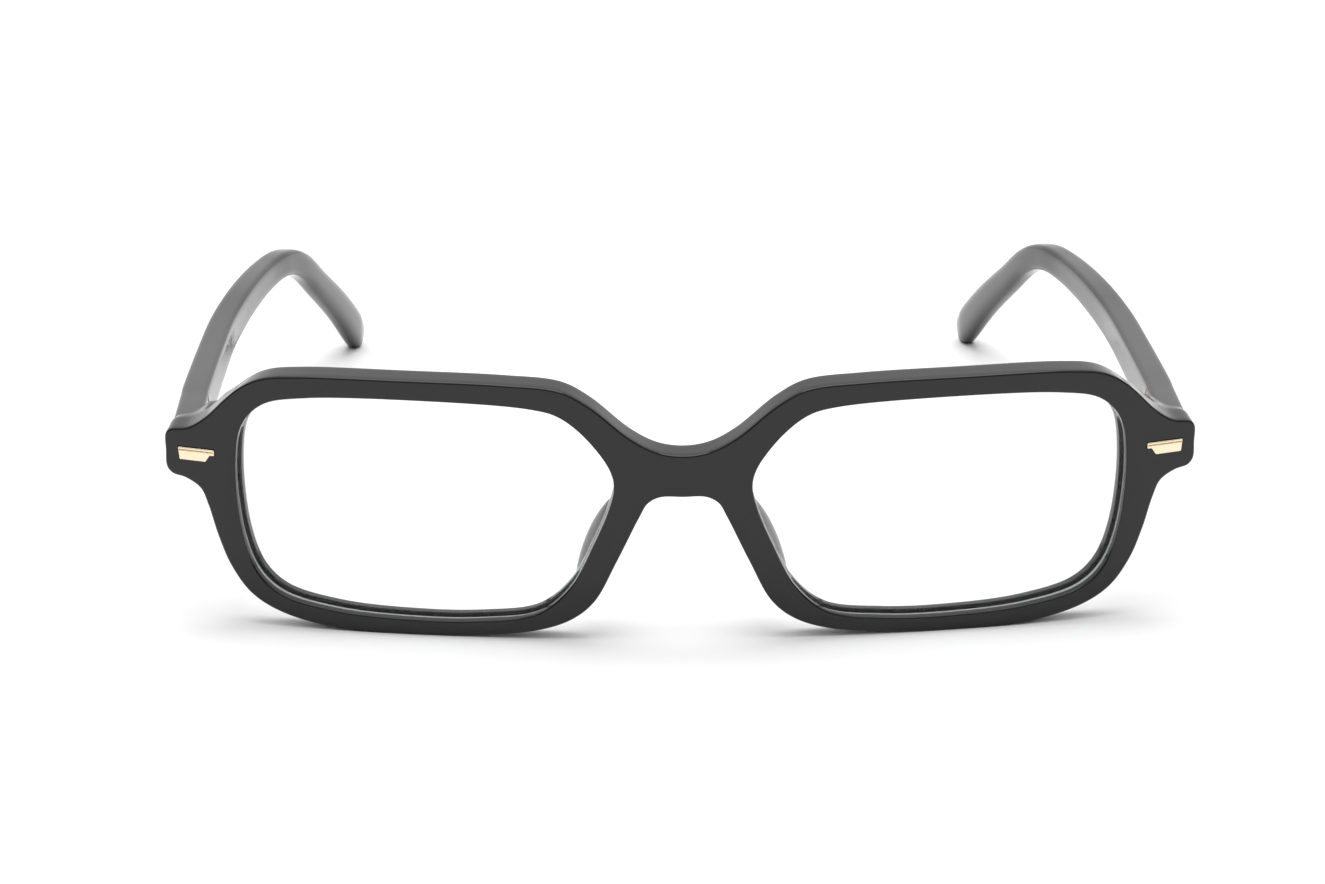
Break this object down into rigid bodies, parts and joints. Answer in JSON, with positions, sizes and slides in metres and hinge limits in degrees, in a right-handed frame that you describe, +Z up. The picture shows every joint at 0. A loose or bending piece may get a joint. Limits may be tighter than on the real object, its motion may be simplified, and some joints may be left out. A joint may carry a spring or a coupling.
{
  "type": "eyeglasses frame",
  "caption": "Full-rim acetate eyeglasses frame with clear demo lenses, folding temples on barrel hinges and small gold end plaques.",
  "frame": {"origin": "on the table, under the middle of the open frame's footprint", "axes": "+Y from the front back along the temples, +Z up, +X towards the wearer's left"},
  "size_m": [0.1418, 0.1504, 0.0381],
  "materials": {
    "acetate": "polished black",
    "clear_lens": "clear, polished",
    "gold": "polished pale gold",
    "nickel_silver": "drawn wire"
  },
  "bodies": {
    "front_frame": {"front": "acetate", "lens_left": "clear_lens", "lens_right": "clear_lens", "nose_pad_left": "acetate", "nose_pad_right": "acetate", "plaque_left": "gold", "plaque_right": "gold", "front_hinge_left": "gold", "front_hinge_right": "gold", "hinge_screw_left": "gold", "hinge_screw_right": "gold"},
    "temple_left": {"temple_left": "acetate", "temple_core_left": "nickel_silver", "temple_hinge_left": "gold"},
    "temple_right": {"temple_right": "acetate", "temple_core_right": "nickel_silver", "temple_hinge_right": "gold"}
  },
  "joints": [
    {"name": "left_temple_hinge", "type": "hinge", "parent": "front_frame", "child": "temple_left", "pos_m": [0.0652, -0.05529, 0.0253], "axis": [0, 0, 1], "range_deg": [0, 85]},
    {"name": "right_temple_hinge", "type": "hinge", "parent": "front_frame", "child": "temple_right", "pos_m": [-0.0652, -0.05529, 0.0253], "axis": [0, 0, -1], "range_deg": [0, 78]}
  ]
}
